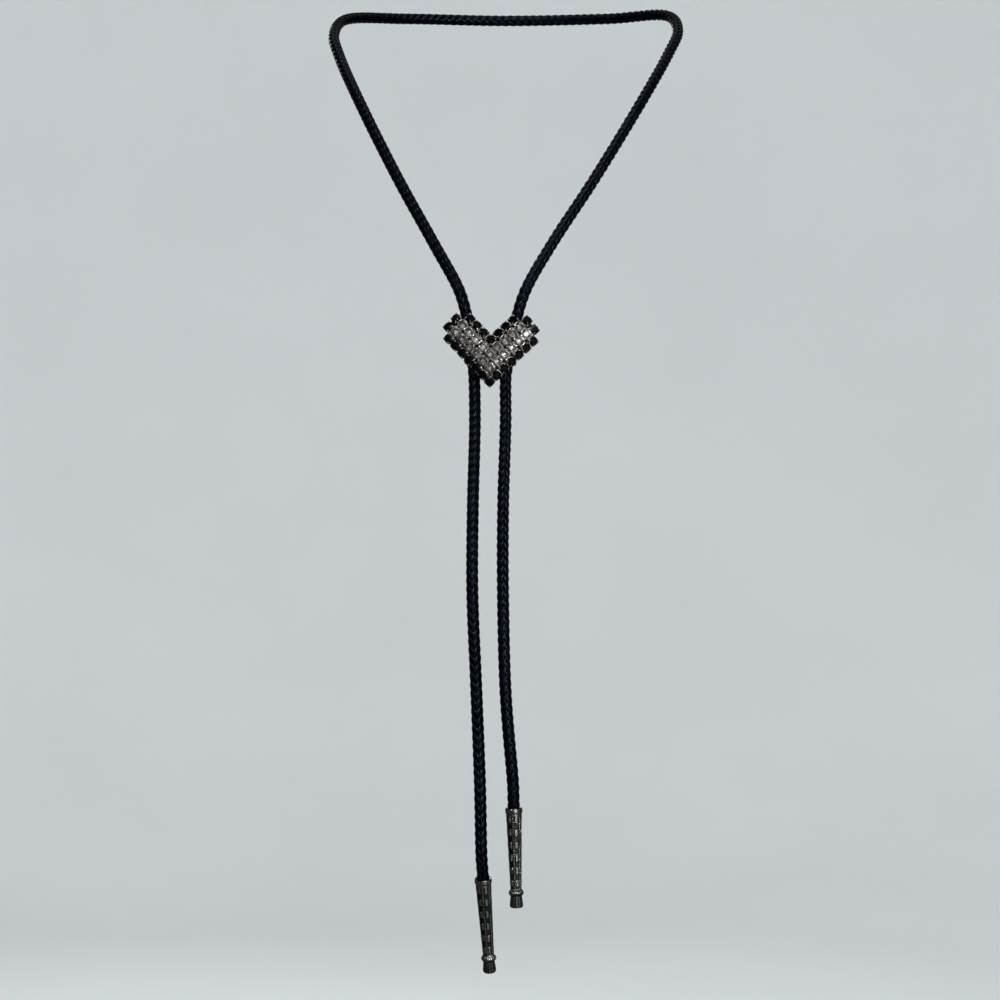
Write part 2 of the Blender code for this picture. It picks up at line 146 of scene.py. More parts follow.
# Tips
TIP_LENGTH = 40.0 * MM
TIP_WALL = 0.75 * MM
SOCKET_GAP = 0.25 * MM
SOCKET_DEPTH = 6.0 * MM
MOUTH_CHAMFER = 0.1 * MM
TIP_WAIST_WIDTH = 4.6 * MM
TIP_RING_WIDTH = 6.3 * MM
TIP_END_WIDTH = 5.4 * MM
TIP_SHOULDER_SHARE = 0.94
TIP_COLUMNS = 6
TIP_RUNGS = 6
TIP_RUNG_SHARE = 0.66
RUNG_SHARE = 0.58
TIP_ROLL = math.radians(18)
TIP_STRAIGHT_RUN = 9.0 * MM
TIP_SIDES = 144
TIP_ROWS = 250
RUNG_WIDTH = 1.5 * MM
RIDGE_WIDTH = 0.7 * MM
GROOVE_DEPTH = 0.30 * MM
NOTCH_DEPTH = 0.42 * MM
RELIEF_SLOPE = 0.22 * MM
RELIEF_FADE = 0.01
COLLAR_SWELL = 0.08 * MM
BEADS = 16
BEAD_DEPTH = 0.144 * MM
FLUTES = 12
FLUTE_DEPTH = 0.30 * MM
FLUTE_FADE = (0.965, 0.99)
# Painted shade on the mouth's rim
RIM_PAINTED_SHADE = 0.8
# How much darker the flared end is painted
FLARE_DARKENING = 0.35
SOCKET_TARNISH = 0.9
LEFT_TIP_MOUTH = Vector((-9.5, -188.8, -374.3)) * MM
LEFT_TIP_DOWN = Vector((0.066, 0.224, -0.972)).normalized()
RIGHT_TIP_MOUTH = Vector((2.8, -189.8, -346.1)) * MM
RIGHT_TIP_DOWN = Vector((0.028, 0.033, -0.999)).normalized()

# Outline of a tip in shares of its length; a pair adds a share of the mouth's, ring's or end's width
TIP_RIM = 0.012
TIP_COLLAR = ((0.0, 0.96), (TIP_RIM, 1.0), (0.045, 1.0))
TIP_SHOULDER = 0.055
TIP_RUNGS_FROM = 0.075
TIP_RUNGS_TO = 0.80
TIP_RING_WAISTS = (0.815, 0.885)
TIP_RING = ((0.832, 0.90), (0.850, 1.0), (0.868, 0.90))
TIP_FLARE = ((0.900, 0.88), (0.970, 1.0), (0.990, 0.97), (1.0, 0.84))

# Route of the cord's centre between the pieces that hold it, in metres
LEFT_HANG = (
    (-0.0107, -0.1908, -0.3370),
    (-0.0123, -0.1893, -0.2960),
    (-0.0138, -0.1850, -0.2600),
    (-0.0137, -0.1740, -0.2250),
    (-0.0130, -0.1595, -0.1910),
)
NECK_LEFT = (
    (-0.0193, -0.1478, -0.1370),
    (-0.0300, -0.1372, -0.1165),
    (-0.0458, -0.1212, -0.0872),
    (-0.0637, -0.0975, -0.0505),
    (-0.0735, -0.0735, -0.0275),
    (-0.0766, -0.0575, -0.0160),
    (-0.0725, -0.0385, -0.0062),
    (-0.0460, -0.0095, -0.0010),
)
NAPE = (0.0, CORD_DIAMETER / 2, 0.0)
NECK_RIGHT = (
    (0.0470, -0.0095, -0.0010),
    (0.0730, -0.0370, -0.0042),
    (0.0766, -0.0550, -0.0138),
    (0.0722, -0.0705, -0.0250),
    (0.0590, -0.0970, -0.0500),
    (0.0370, -0.1210, -0.0875),
    (0.0185, -0.1372, -0.1168),
    (0.0075, -0.1478, -0.1370),
)
RIGHT_HANG = (
    (-0.0004, -0.1595, -0.1910),
    (-0.0014, -0.1740, -0.2250),
    (-0.0015, -0.1850, -0.2600),
    (-0.0004, -0.1893, -0.3010),
)

# Studio
CHEST = Vector((0, -0.15, -0.2))
PALE_COLOR = (0.80, 0.82, 0.82)
PALE_STRENGTH = 0.92
ROOM_DARK = (0.88, (0.008, 0.008, 0.010))
ROOM_BRIGHT = (1.0, (0.22, 0.22, 0.22))
PATCH_SCALE = 2.5
PATCH_SHARE = 0.10
WINDOW_TOWARDS = Vector((0.45, -0.88, 0.06)).normalized()
WINDOW_STRETCH = (1.0, 1.0, 0.4)
WALL_WIDENING = 1.18
WALL_TOWARDS = WALL_WIDENING * Vector((0.0, 0.95, 0.30)).normalized()
FLOOR_Z = -0.75
SWEEP_RADIUS = 3.2
SWEEP_CURVE = 1.0
SWEEP_HEIGHT = 3.0
SWEEP_SIDES = 96
SWEEP_STEPS = 12


# Mesh helpers


def mesh_from(bm, name, is_smooth=True):
    """Turns the working mesh into a finished one and frees it."""
    mesh = bpy.data.meshes.new(name)
    bm.to_mesh(mesh)
    bm.free()
    if is_smooth:
        mesh.shade_smooth()
    return mesh


def new_piece(name, mesh, *materials):
    piece = bpy.data.objects.new(name, mesh)
    bpy.context.scene.collection.objects.link(piece)
    if not mesh.materials:
        for material in materials:
            mesh.materials.append(material)
    return piece


def dress(piece, slot, *nodes):
    """Puts a piece in the place of CAD nodes."""
    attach(piece, "root")
    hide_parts(*nodes)


def angles_round(count, offset=0.0):
    """Evenly spaced angles of a whole turn; offset is in steps."""
    return [2 * math.pi * (index + offset) / count for index in range(count)]


def circle(bm, radius, height, count, offset=0.0):
    """Points on a level circle round the Z axis."""
    places = [(radius * math.cos(a), radius * math.sin(a), height) for a in angles_round(count, offset)]
    return [bm.verts.new(place) for place in places]


def bridge(bm, ring, following):
    """A band of faces between two rings of as many points."""
    count = len(ring)
    for i in range(count):
        after = (i + 1) % count
        bm.faces.new((ring[i], ring[after], following[after], following[i]))


def join_rings(bm, rings):
    for ring, following in zip(rings, rings[1:]):
        bridge(bm, ring, following)


def fill_ends(bm, rings):
    bm.faces.new(reversed(rings[0]))
    bm.faces.new(rings[-1])


def frame_matrix(origin, x_axis, y_axis, z_axis):
    """A frame with the given origin and axes."""
    matrix = Matrix((x_axis, y_axis, z_axis)).transposed().to_4x4()
    matrix.translation = origin
    return matrix


def smoothstep(low, high, value):
    """Rises from 0 at low to 1 at high, level at both."""
    t = min(max((value - low) / (high - low), 0), 1)
    return t * t * (3 - 2 * t)


# Node trees


class Nodes:
    """A node tree, with short calls to add nodes and to join them."""

    def __init__(self, tree):
        self.tree = tree

    def add(self, kind, **settings):
        made = self.tree.nodes.new(kind)
        for name, value in settings.items():
            setattr(made, name, value)
        return made

    def link(self, source, target):
        self.tree.links.new(source, target)

    def calculate(self, node, operands):
        """Gives a maths node its operands: numbers, vectors or the outputs of other nodes."""
        for socket, operand in zip(node.inputs, operands):
            if isinstance(operand, bpy.types.NodeSocket):
                self.link(operand, socket)
            else:
                socket.default_value = operand

    def math(self, operation, *operands):
        node = self.add("ShaderNodeMath", operation=operation)
        self.calculate(node, operands)
        return node.outputs["Value"]

    def vector_math(self, output, operation, *operands):
        node = self.add("ShaderNodeVectorMath", operation=operation)
        self.calculate(node, operands)
        return node.outputs[output]

    def ramp(self, source, *stops):
        """A colour ramp; each stop is a position and a colour or a grey level."""
        ramp = self.add("ShaderNodeValToRGB")
        elements = ramp.color_ramp.elements
        while len(elements) < len(stops):
            elements.new(0.5)
        for element, (position, color) in zip(elements, stops):
            element.position = position
            element.color = (*color, 1) if isinstance(color, tuple) else (color, color, color, 1)
        self.link(source, ramp.inputs["Fac"])
        return ramp.outputs["Color"]


# Camera, lights and studio


def add_camera():
    data = bpy.data.cameras.new("camera")
    data.lens = CAMERA_LENS
    data.sensor_width = CAMERA_SENSOR
    data.clip_start = 0.01
    data.clip_end = 50
    camera = bpy.data.objects.new("camera", data)
    camera.location = CAMERA_AT
    camera.rotation_euler = (math.pi / 2, 0, 0)
    bpy.context.scene.collection.objects.link(camera)
    bpy.context.scene.camera = camera


def add_light(name, place, size, power, is_soft=True, is_mirrored=True):
    """A lamp that faces the chest; a soft one lights matt surfaces, a mirrored one shows in gloss."""
    data = bpy.data.lights.new(name, "AREA")
    data.shape = "RECTANGLE"
    data.size, data.size_y = size
    data.energy = power
    light = bpy.data.objects.new(name, data)
    light.location = place
    light.rotation_euler = (CHEST - Vector(place)).to_track_quat("-Z", "Y").to_euler()
    light.visible_diffuse = is_soft
    light.visible_glossy = light.visible_transmission = is_mirrored
    bpy.context.scene.collection.objects.link(light)


def add_lights():
    add_light("key", (0.50, -1.65, 0.45), (0.45, 0.45), 13, is_mirrored=False)
    add_light("fill", (-1.5, -0.7, 0.1), (0.3, 0.8), 3, is_mirrored=False)
    add_light("top", (0.0, -0.2, 1.5), (0.9, 0.5), 4)
    add_light("back", (-0.5, 1.7, 0.5), (0.7, 0.5), 5)
    add_light("lamp_right", (0.62, -1.60, 0.25), (0.5, 0.5), 5.0, is_soft=False)
    add_light("lamp_left", (-0.75, -1.35, 0.35), (0.35, 0.35), 1.5, is_soft=False)
    add_light("lamp_low", (0.90, -1.50, -0.55), (0.15, 0.35), 0.22, is_soft=False)
    add_light("spot", (0.45, -1.60, 0.10), (0.08, 0.08), 2.5, is_soft=False)
    add_light("spot_low", (0.50, -1.50, -0.60), (0.08, 0.08), 0.35, is_soft=False)


def add_world():
    """Pale light all round, but a dim room in reflections, so that stones and metal keep their contrast.

    The room has a paler window ahead and a paler wall behind, both with soft patches.
    """
    world = bpy.data.worlds.new("studio")
    world.use_nodes = True
    nodes = Nodes(world.node_tree)
    pale = nodes.tree.nodes["Background"]
    pale.inputs["Color"].default_value = (*PALE_COLOR, 1)
    pale.inputs["Strength"].default_value = PALE_STRENGTH
    towards = nodes.add("ShaderNodeTexCoord").outputs["Generated"]
    flattened = nodes.vector_math("Vector", "MULTIPLY", towards, WINDOW_STRETCH)
    flattened = nodes.vector_math("Vector", "NORMALIZE", flattened)
    ahead = nodes.vector_math("Value", "DOT_PRODUCT", flattened, WINDOW_TOWARDS)
    behind = nodes.vector_math("Value", "DOT_PRODUCT", towards, WALL_TOWARDS)
    patches = nodes.add("ShaderNodeTexNoise")
    patches.inputs["Scale"].default_value = PATCH_SCALE
    nodes.link(towards, patches.inputs["Vector"])
    nearest = nodes.math("MAXIMUM", ahead, behind)
    glow = nodes.math("MULTIPLY_ADD", patches.outputs["Fac"], PATCH_SHARE, nearest)
    room = nodes.add("ShaderNodeBackground")
    nodes.link(nodes.ramp(glow, ROOM_DARK, ROOM_BRIGHT), room.inputs["Color"])
    rays = nodes.add("ShaderNodeLightPath").outputs
    reflected = nodes.math("MAXIMUM", rays["Is Glossy Ray"], rays["Is Transmission Ray"])
    mix = nodes.add("ShaderNodeMixShader")
    nodes.link(reflected, mix.inputs["Fac"])
    nodes.link(pale.outputs["Background"], mix.inputs[1])
    nodes.link(room.outputs["Background"], mix.inputs[2])
    nodes.link(mix.outputs["Shader"], nodes.tree.nodes["World Output"].inputs["Surface"])
    bpy.context.scene.world = world
    bpy.context.scene.view_settings.view_transform = "Standard"


def sweep_profile():
    """Floor, curve and wall of the studio as radius and height."""
    points = []
    for step in range(SWEEP_STEPS + 1):
        angle = math.pi / 2 * step / SWEEP_STEPS
        radius = SWEEP_RADIUS - SWEEP_CURVE + SWEEP_CURVE * math.sin(angle)
        points.append((radius, FLOOR_Z + SWEEP_CURVE * (1 - math.cos(angle))))
    return points + [(SWEEP_RADIUS, FLOOR_Z + SWEEP_HEIGHT)]


def add_sweep():
    """A pale floor that curves up into a wall all round."""
    bm = bmesh.new()
    rings = [circle(bm, radius, height, SWEEP_SIDES) for radius, height in sweep_profile()]
    bm.faces.new(rings[0])
    join_rings(bm, rings)
    bmesh.ops.recalc_face_normals(bm, faces=bm.faces)
    bmesh.ops.reverse_faces(bm, faces=bm.faces)
    mesh = mesh_from(bm, "studio_sweep")
    mesh.set_sharp_from_angle(angle=math.radians(20))
    sweep = new_piece("studio_sweep", mesh, studio_material())
    sweep.visible_glossy = False
    sweep.visible_transmission = False


# Places that the frame's solids share


def slide_matrix():
    """The slide's frame: +X to the right, -Y out of its front, +Z up."""
    turn = Matrix.Rotation(-SLIDE_LEAN, 4, "X") @ Matrix.Rotation(SLIDE_ROLL, 4, "Y")
    return Matrix.Translation(SLIDE_AT) @ turn


def channel_point(side, height):
    """A point of a channel's axis in the slide's frame; side is -1 for the left, 1 for the right."""
    return Vector((side * (CHANNEL_SPACING / 2 + height * math.tan(CHANNEL_SPLAY)), 0, height))


def channel_route(side):
    half = CHANNEL_LENGTH / 2 * math.cos(CHANNEL_SPLAY)
    heights = (-half - CHANNEL_GUARD, -half, half, half + CHANNEL_GUARD)
    return [slide_matrix() @ channel_point(side, height) for height in heights]


def tip_route(mouth, down):
    """The cord's straight end, from inside a tip's socket to above its mouth."""
    inside = mouth + down * (SOCKET_DEPTH - SOCKET_GAP)
    return [inside, mouth - down * TIP_STRAIGHT_RUN / 3, mouth - down * TIP_STRAIGHT_RUN]


def cord_route():
    points = [
        *tip_route(LEFT_TIP_MOUTH, LEFT_TIP_DOWN),
        *LEFT_HANG,
        *channel_route(-1),
        *NECK_LEFT,
        NAPE,
        *NECK_RIGHT,
        *reversed(channel_route(1)),
        *RIGHT_HANG,
        *reversed(tip_route(RIGHT_TIP_MOUTH, RIGHT_TIP_DOWN)),
    ]
    return [Vector(point) for point in points]


def smooth_curve(points):
    """Points along a centripetal Catmull-Rom curve through the given ones."""
    ends = [2 * points[0] - points[1], *points, 2 * points[-1] - points[-2]]
    curve = []
    for before, start, end, after in zip(ends, ends[1:], ends[2:], ends[3:]):
        pairs = ((before, start), (start, end), (end, after))
        gap_in, gap, gap_out = [math.sqrt((b - a).length) for a, b in pairs]
        chord = (end - start) / gap
        leaving = ((start - before) / gap_in - (end - before) / (gap_in + gap) + chord) * gap
        arriving = ((after - end) / gap_out - (after - start) / (gap + gap_out) + chord) * gap
        steps = max(1, round((end - start).length / CURVE_STEP))
        handles = (start, start + leaving / 3, end - arriving / 3, end)
        curve += interpolate_bezier(*handles, steps + 1)[:-1]
    return curve + [points[-1]]


def even_path(points, step):
    """The same line with evenly spaced points."""
    lengths = [0.0]
    for start, end in zip(points, points[1:]):
        lengths.append(lengths[-1] + (end - start).length)
    count = round(lengths[-1] / step)
    path, index = [], 0
    for number in range(count + 1):
        at = lengths[-1] * number / count
        while index < len(points) - 2 and lengths[index + 1] < at:
            index += 1
        share = (at - lengths[index]) / (lengths[index + 1] - lengths[index])
        path.append(points[index].lerp(points[index + 1], share))
    return path


def path_frames(path):
    """A place and two cross axes that don't twist, for each point of a path."""
    steps = [(b - a).normalized() for a, b in zip(path, path[1:])]
    between = [(a + b).normalized() for a, b in zip(steps, steps[1:])]
    tangents = [steps[0], *between, steps[-1]]
    across = tangents[0].orthogonal().normalized()
    frames = []
    for place, tangent in zip(path, tangents):
        across = (across - tangent * across.dot(tangent)).normalized()
        frames.append((place, across, tangent.cross(across), tangent))
    return frames


# Cord


def strand_ring(frame_at, along, direction, start, step_angle):
    """One section of a strand: its points, and how far out each lies, 0 in a valley, 1 on a crown; the
    leather is painted darker, as shade, the lower the share.
    """
    place, across, up, tangent = frame_at
    angle = direction * along * step_angle + start
    over = direction * math.cos(BRAID_STRANDS / 4 * angle)
    outward = across * math.cos(angle) + up * math.sin(angle)
    around = up * math.cos(angle) - across * math.sin(angle)
    middle = BRAID_REACH - STRAND_THICKNESS / 2 - BRAID_DIVE * (1 - over)
    heading = (tangent + around * direction * step_angle * middle).normalized()
    side = outward.cross(heading)
    points, crowns = [], []
    for turn in map(math.radians, STRAND_TURNS):
        width = math.copysign(abs(math.cos(turn)) ** STRAND_FLATNESS, math.cos(turn)) * STRAND_WIDTH / 2
        rise = math.sin(turn) * STRAND_THICKNESS / 2
        sag = width**2 / CORD_DIAMETER
        points.append(place + outward * (middle + rise - sag) + side * width)
        # Painted shade: the share falls off down the strand's sides and sinks to nothing where the strand
        # passes under the others.
        crowns.append(max(0.0, math.sin(turn)) * (0.5 + 0.5 * over))
    return points, crowns


def add_strand(bm, frames, spacing, direction, start, worn_and_shaded_layer):
    """A strand that winds round the path; direction is 1 or -1, start its angle at the path's first point."""
    step_angle = 2 * math.pi / BRAID_PITCH
    rings = []
    for number, frame_at in enumerate(frames):
        points, crowns = strand_ring(frame_at, number * spacing, direction, start, step_angle)
        rings.append([bm.verts.new(point) for point in points])
        for vert, crown in zip(rings[-1], crowns):
            vert[worn_and_shaded_layer] = crown
    join_rings(bm, rings)
    fill_ends(bm, rings)


def add_core(bm, frames):
    """A plain core that keeps light from passing between the strands."""
    # Its points get no share, so the leather on the core is painted in full shade, nearly black.
    radius = CORE_DIAMETER / 2
    rings = []
    for place, across, up, _ in frames:
        outward = [across * math.cos(a) + up * math.sin(a) for a in angles_round(CORE_SIDES)]
        rings.append([bm.verts.new(place + step * radius) for step in outward])
    join_rings(bm, rings)
    fill_ends(bm, rings)


def braid_mesh(path):
    """Round braid: half of the strands turn each way, each over two and under two of the others."""
    bm = bmesh.new()
    # Each point's share paints the leather: shade in the valleys and under the crossings, paler on the
    # crowns.
    worn_and_shaded_layer = bm.verts.layers.float.new("crown")
    frames = path_frames(path)
    spacing = (path[1] - path[0]).length
    for strand in range(BRAID_STRANDS):
        pair, is_second = divmod(strand, 2)
        start = 2 * math.pi * pair / (BRAID_STRANDS / 2) + (math.pi / BRAID_STRANDS if is_second else 0)
        add_strand(bm, frames, spacing, 1 if is_second else -1, start, worn_and_shaded_layer)
    add_core(bm, frames)
    bmesh.ops.recalc_face_normals(bm, faces=bm.faces)
    return mesh_from(bm, "braided_cord")


def make_cord():
    path = even_path(smooth_curve(cord_route()), BRAID_STEP)
    cord = new_piece("braided_cord", braid_mesh(path), leather_material())
    dress(cord, "braided_leather", "cord")
    return cord, path


# Stones and their places


def stone_cells():
    """Lattice places of the stones, counted along the left and the right arm from the lowest stone.

    Each arm is four rows wide. The outer rows and the rounded end are black, the rest is clear.
    """
    end = ARM_STONES
    black, clear = [(0, 0), (3, 3)], [(1, 1), (2, 2)]
    left_black = [(a, 0) for a in range(1, end)] + [(end, 1), (end, 2)]
    left_black += [(a, 3) for a in range(4, end)]
    left_clear = [(a, b) for a in range(2, end) for b in (1, 2) if a > b]
    for cells, left in ((black, left_black), (clear, left_clear)):
        for a, b in left:
            cells += [(a, b), (b, a)]
    return black, clear


def on_lattice(a, b):
    """A lattice place in the slide's own plane: X to the right, Z up from the lowest stone."""
    step = STONE_PITCH / math.sqrt(2)
    return Vector(((b - a) * step, 0, (a + b) * step))


def off_spine(a, b):
    """The lattice step from the middle line of the arms to a place, blended where the arms meet."""
    low, high = SPINE_INSET, ARM_STONES - SPINE_INSET
    left = Vector((a - min(max(a, low), high), b - low))
    right = Vector((a - low, b - min(max(b, low), high)))
    left_weight = 1 / (left.length_squared + SPINE_BLEND)
    right_weight = 1 / (right.length_squared + SPINE_BLEND)
    return (left * left_weight + right * right_weight) / (left_weight + right_weight)


def tucked(a, b):
    """Moves the cell on an arm's outer corner in, which rounds the arm's end off."""
    if (a, b) == (ARM_STONES, 1):
        return Vector((a, b)) + ARM_END_TUCK
    if (a, b) == (1, ARM_STONES):
        return Vector((a, b)) + ARM_END_TUCK.yx
    return Vector((a, b))


def dome(a, b, depth=0.0):
    """A place on the domed field and its normal, in the slide's frame; depth is below the girdles."""
    step = off_spine(a, b)
    across = on_lattice(*step)
    bend = across.length / DOME_RADIUS
    outward = across.normalized()
    normal = outward * math.sin(bend) + FRONT * math.cos(bend)
    place = on_lattice(a - step.x, b - step.y) + outward * DOME_RADIUS * math.sin(bend)
    place -= FRONT * DOME_RADIUS * (1 - math.cos(bend))
    place += FRONT * girdle_ahead() - Vector((0, 0, LOWEST_STONE_DROP))
    return place - normal * depth, normal


def cup_depth():
    """From a stone's girdle to the bottom of its cup's hollow."""
    return PAVILION_DEPTH + STONE_GAP


def web_depth():
    """From a stone's girdle to the front of the web."""
    return cup_depth() + CUP_FLOOR


def channel_radius():
    """Outer radius of a channel."""
    return CORD_DIAMETER / 2 + CHANNEL_GAP + CHANNEL_WALL


def girdle_ahead():
    """From the cord's centre plane to the girdles on the dome's crown."""
    pad_front = channel_radius() + BAR_THICKNESS / 2 + PAD_THICKNESS
    pad_sag = (PAD_WIDTH**2 + PAD_HEIGHT**2) / (8 * DOME_RADIUS)
    return pad_front + SOLDER_GAP + pad_sag + WEB_THICKNESS + web_depth()


def stone_matrix(a, b):
    """Frame of a stone or cup: +Z out of the dome, +X along the left arm."""
    place, normal = dome(*tucked(a, b))
    along = on_lattice(1, 0)
    x_axis = (along - normal * along.dot(normal)).normalized()
    return slide_matrix() @ frame_matrix(place, x_axis, normal.cross(x_axis), normal)


def stone_mesh(name):
    """A round cut: table, stars, kites and breaks on the crown, a thin girdle, facets on the pavilion.

    The crown and girdle take the first material, the foiled pavilion the second, its flat end the third.
    """
    bm = bmesh.new()
    girdle_sides = 2 * TABLE_SIDES
    radius = STONE_DIAMETER / 2
    star_height = CROWN_HEIGHT * (1 - STAR_SHARE) / (1 - TABLE_SHARE) * STAR_BULGE
    table = circle(bm, TABLE_SHARE * radius, CROWN_HEIGHT, TABLE_SIDES)
    star = circle(bm, STAR_SHARE * radius, star_height, TABLE_SIDES, offset=0.5)
    upper = circle(bm, radius, GIRDLE_HEIGHT / 2, girdle_sides)
    lower = circle(bm, radius, -GIRDLE_HEIGHT / 2, girdle_sides)
    culet = circle(bm, CULET_SHARE * radius, -PAVILION_DEPTH * (1 - CULET_SHARE), TABLE_SIDES)
    bm.faces.new(table)
    for i in range(TABLE_SIDES):
        point, edge = 2 * i, 2 * i + 1
        after = (i + 1) % TABLE_SIDES
        next_point = (point + 2) % girdle_sides
        bm.faces.new((table[i], star[i], table[after]))
        bm.faces.new((table[i], star[i - 1], upper[point], star[i]))
        bm.faces.new((star[i], upper[point], upper[edge]))
        bm.faces.new((star[i], upper[edge], upper[next_point]))
        foiled = (
            (lower[point - 1], lower[point], culet[i]),
            (lower[point], lower[edge], culet[i]),
            (lower[edge], culet[after], culet[i]),
        )
        for corners in foiled:
            bm.faces.new(corners).material_index = 1
    bridge(bm, upper, lower)
    bm.faces.new(culet).material_index = 2
    bmesh.ops.recalc_face_normals(bm, faces=bm.faces)
    return mesh_from(bm, name, is_smooth=False)


def make_stones():
    """Each stone sits turned and tilted a little differently in its cup, as set by hand."""
    drawn = random.Random(SEED)
    black_cells, clear_cells = stone_cells()
    kinds = (
        ("black", black_cells, "black_glass", [jet_material()] * 3),
        ("clear", clear_cells, "clear_glass", [crystal_material(), foil_material(), culet_material()]),
    )
    for kind, cells, slot, materials in kinds:
        mesh = stone_mesh(f"{kind}_cut_stone")
        for number, cell in enumerate(cells, start=1):
            tilt = Matrix.Rotation(drawn.uniform(-STONE_TILT, STONE_TILT), 4, "X")
            turn = Matrix.Rotation(drawn.uniform(0, 2 * math.pi), 4, "Z")
            stone = new_piece(f"{kind}_cut_stone_{number:02d}", mesh, *materials)
            stone.matrix_world = stone_matrix(*cell) @ tilt @ turn
            dress(stone, slot, f"{kind}_stone_{number:02d}")


# Setting


def cup_ring(bm, matrix, side, corner, height):
    """A square with rounded corners: side and corner are the distances of its edges and corners."""
    points = []
    for angle in angles_round(CUP_SIDES, 0.5):
        from_side = (angle + math.pi / 4) % (math.pi / 2) - math.pi / 4
        radius = min(side / math.cos(from_side), corner / math.cos(abs(from_side) - math.pi / 4))
        place = Vector((radius * math.cos(angle), radius * math.sin(angle), height))
        points.append(bm.verts.new(matrix @ place))
    return points


def add_cup(bm, matrix, painted_shade_layer):
    girdle = STONE_DIAMETER / 2
    side = (STONE_PITCH - CUP_SPACING) / 2
    inner_side = side - CUP_WALL
    corner = girdle + STONE_GAP + CLAW_THICKNESS
    inner_corner = girdle + STONE_GAP
    rim_depth = PAVILION_DEPTH * (1 - inner_side / girdle) + CUP_RIM_DROP
    lip = CUP_WALL / 4
    base_depth = web_depth() + WEB_THICKNESS / 2
    rows = (
        (CUP_TAPER * side, CUP_TAPER * corner, base_depth),
        (side - lip / 2, corner - lip / 2, rim_depth + 2 * lip),
        (side, corner, rim_depth + lip),
        (side - lip, corner - lip, rim_depth),
        (inner_side + lip, inner_corner + lip, rim_depth),
        (inner_side, inner_corner, rim_depth + lip),
        (CUP_TAPER * inner_side, CUP_TAPER * inner_corner, cup_depth()),
    )
    rings = []
    for row_side, row_corner, depth in rows:
        rings.append(cup_ring(bm, matrix, row_side, row_corner, -depth))
        for vert in rings[-1]:
            # Painted shade: the silver is painted darker the deeper it lies in the cup.
            vert[painted_shade_layer] = depth / base_depth
    join_rings(bm, rings)
    fill_ends(bm, rings)
    for angle in angles_round(4, 0.5):
        add_claw(bm, matrix @ Matrix.Rotation(angle, 4, "Z"), corner, rim_depth, painted_shade_layer)


def claw_spine(stem, rim_depth):
    """Middle line of a claw, from below the cup's rim at the distance stem to its tip on the stone."""
    girdle = STONE_DIAMETER / 2
    crown_slope = CROWN_HEIGHT / (girdle * (1 - TABLE_SHARE))
    rest = girdle - CLAW_OVER_STONE
    lift = CLAW_OVER_STONE * crown_slope + CLAW_THICKNESS / 2 + STONE_GAP
    handles = (
        Vector((stem, 0, CLAW_BEND_ABOVE_GIRDLE)),
        Vector((stem, 0, lift * CLAW_STEEPNESS)),
        Vector((rest + CLAW_CURL, 0, lift)),
        Vector((rest, 0, lift + CLAW_TIP_RISE)),
    )
    bend = interpolate_bezier(*handles, len(CLAW_TAPER) - 2)
    tip = bend[-1] + (bend[-1] - bend[-2]).normalized() * CLAW_THICKNESS * CLAW_TIP_SHARE
    return [Vector((stem, 0, -rim_depth - CLAW_ROOT)), *bend, tip]


def add_claw(bm, matrix, corner, rim_depth, painted_shade_layer):
    """A prong that rises from the cup's corner on +X and bends in over the stone."""
    spine = claw_spine(corner - CLAW_THICKNESS / 2, rim_depth)
    y_axis = Vector((0, 1, 0))
    rings = []
    for number, (place, share) in enumerate(zip(spine, CLAW_TAPER)):
        before, after = spine[max(number - 1, 0)], spine[min(number + 1, len(spine) - 1)]
        thick = (after - before).normalized().cross(y_axis).normalized()
        ring = []
        for turn in angles_round(CLAW_SIDES):
            wide = y_axis * math.cos(turn) * CLAW_WIDTH / 2 * share
            deep = thick * math.sin(turn) * CLAW_THICKNESS / 2 * share
            vert = bm.verts.new(matrix @ (place + wide + deep))
            # Painted shade: darker down towards the claw's root, below the girdle.
            vert[painted_shade_layer] = max(0.0, -place.z / web_depth())
            ring.append(vert)
        rings.append(ring)
    join_rings(bm, rings)
    fill_ends(bm, rings)


def add_web(bm, cells, painted_shade_layer):
    """The domed back under the cups: a front and a back skin, and a rim round them."""
    covered = set(cells)
    verts = {}

    def at(key, level):
        if (key, level) not in verts:
            place = trimmed(key, covered)
            depth = web_depth() + level * WEB_THICKNESS
            vert = bm.verts.new(slide_matrix() @ dome(*place, depth=depth)[0])
            # Painted shade on the web: darkest on its front between the stones.
            vert[painted_shade_layer] = WEB_PAINTED_SHADE[level]
            verts[key, level] = vert
        return verts[key, level]

    steps = WEB_STEPS
    around = ((0, 0), (0, 1), (1, 1), (1, 0))
    for a, b in cells:
        for i in range(steps):
            for j in range(steps):
                low_a, low_b = a * steps + i, b * steps + j
                corners = [(low_a + across, low_b + up) for across, up in around]
                bm.faces.new([at(corner, 0) for corner in corners])
                bm.faces.new([at(corner, 1) for corner in reversed(corners)])
                for start, end in zip(corners, corners[1:] + corners[:1]):
                    beyond = (
                        math.floor((start[0] + end[0] - low_a - 0.5) / steps),
                        math.floor((start[1] + end[1] - low_b - 0.5) / steps),
                    )
                    if beyond not in covered:
                        bm.faces.new((at(end, 0), at(start, 0), at(start, 1), at(end, 1)))


def trimmed(key, covered):
    """A web point's lattice place, drawn in towards the cells round it where the web ends."""
    place = Vector(key) / WEB_STEPS - Vector((0.5, 0.5))
    steps_off = {cell: Vector(cell) - place for cell in covered}
    reach = 0.5 + WEB_TOLERANCE
    near = [Vector(cell) for cell, off in steps_off.items() if max(abs(off.x), abs(off.y)) < reach]
    middle = sum(near, Vector((0, 0))) / len(near)
    inset = (1 - WEB_REACH) / 2
    drawn = place.copy()
    for axis in (0, 1):
        off_middle = place[axis] - middle[axis]
        if abs(abs(off_middle) - 0.5) > WEB_TOLERANCE:
            continue
        outward = math.copysign(1, off_middle)
        beyond = middle.copy()
        beyond[axis] += outward
        if (round(beyond.x), round(beyond.y)) not in covered:
            drawn[axis] -= inset * outward
    return drawn


